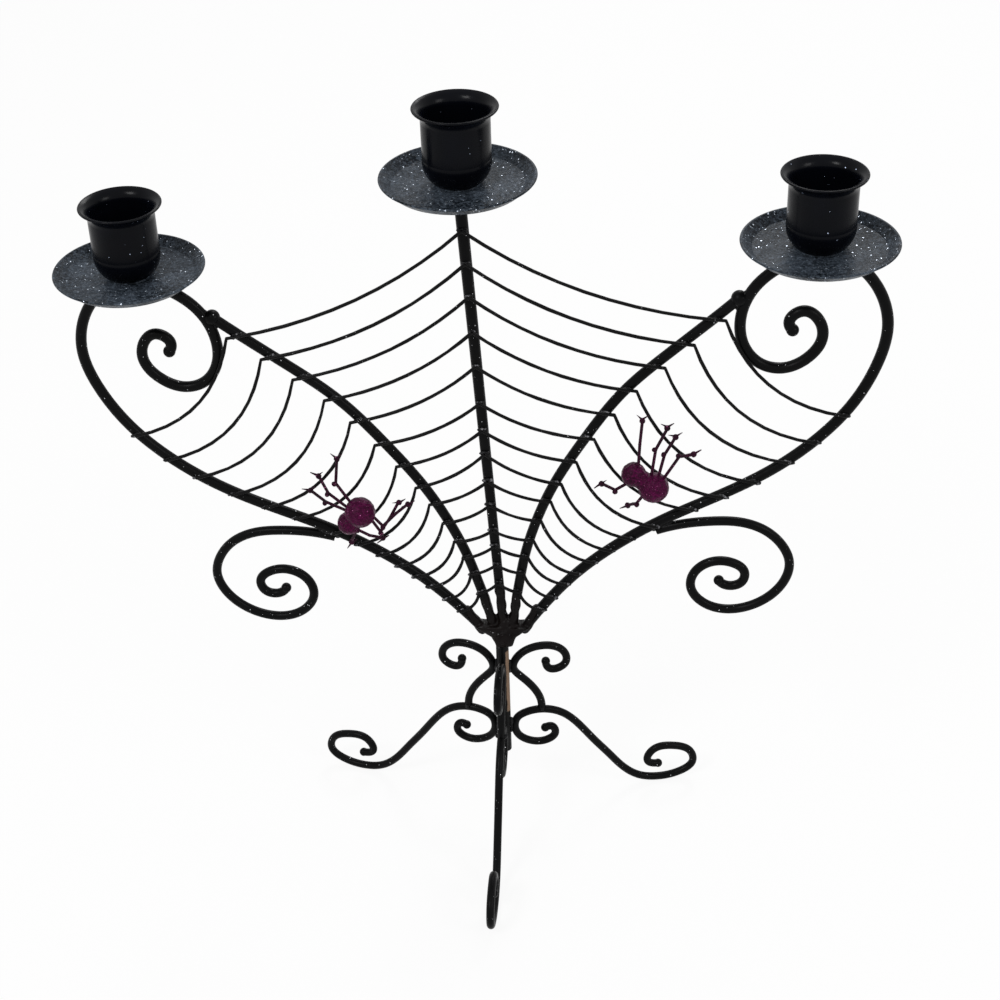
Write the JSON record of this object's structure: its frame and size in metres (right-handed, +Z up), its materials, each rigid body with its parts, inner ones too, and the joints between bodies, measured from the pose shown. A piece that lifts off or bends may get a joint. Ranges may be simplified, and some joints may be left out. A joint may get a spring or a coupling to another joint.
{
  "type": "candelabra",
  "caption": "Black bent-iron candelabra for taper candles: a fan of curved ribs with a wire spider web, scrolls, sheet cups, drip pans, spiders and a tripod scroll foot.",
  "frame": {"origin": "middle of the underside of the box around the whole part, on the surface that it stands on", "axes": "+Z up, the web's fan spreads along X, the front with the spiders and the single front foot faces -Y"},
  "size_m": [0.3054, 0.1116, 0.3185],
  "materials": {
    "rod_black": "satin black paint with a fine silver glitter",
    "wire_black": "satin black paint with a fine silver glitter",
    "cup_black": "gloss black paint on sheet metal",
    "pan_black": "black paint with dense silver-blue glitter",
    "spider_purple": "dark magenta-purple glitter"
  },
  "bodies": {
    "root": {"brace_front": "rod_black", "brace_left": "rod_black", "brace_right": "rod_black", "candle_cup_centre": "cup_black", "candle_cup_left": "cup_black", "candle_cup_right": "cup_black", "drip_pan_centre": "pan_black", "drip_pan_left": "pan_black", "drip_pan_right": "pan_black", "foot_front": "rod_black", "foot_left": "rod_black", "foot_right": "rod_black", "hub_weld": "rod_black", "inner_rib_left": "rod_black", "inner_rib_right": "rod_black", "lower_scroll_left": "rod_black", "lower_scroll_right": "rod_black", "outer_rib_left": "rod_black", "outer_rib_right": "rod_black", "spider_left_body": "spider_purple", "spider_left_leg_1": "spider_purple", "spider_left_leg_2": "spider_purple", "spider_left_leg_3": "spider_purple", "spider_left_leg_4": "spider_purple", "spider_left_leg_5": "spider_purple", "spider_left_leg_6": "spider_purple", "spider_left_leg_7": "spider_purple", "spider_right_body": "spider_purple", "spider_right_leg_1": "spider_purple", "spider_right_leg_2": "spider_purple", "spider_right_leg_3": "spider_purple", "spider_right_leg_4": "spider_purple", "spider_right_leg_5": "spider_purple", "spider_right_leg_6": "spider_purple", "spine": "rod_black", "stem": "rod_black", "web_wire_01": "wire_black", "web_wire_02": "wire_black", "web_wire_03": "wire_black", "web_wire_04": "wire_black", "web_wire_05": "wire_black", "web_wire_06": "wire_black", "web_wire_07": "wire_black", "web_wire_08": "wire_black", "web_wire_09": "wire_black", "web_wire_10": "wire_black", "web_wire_11": "wire_black", "web_wire_12": "wire_black", "web_wire_13": "wire_black", "web_wire_14": "wire_black"}
  },
  "joints": []
}
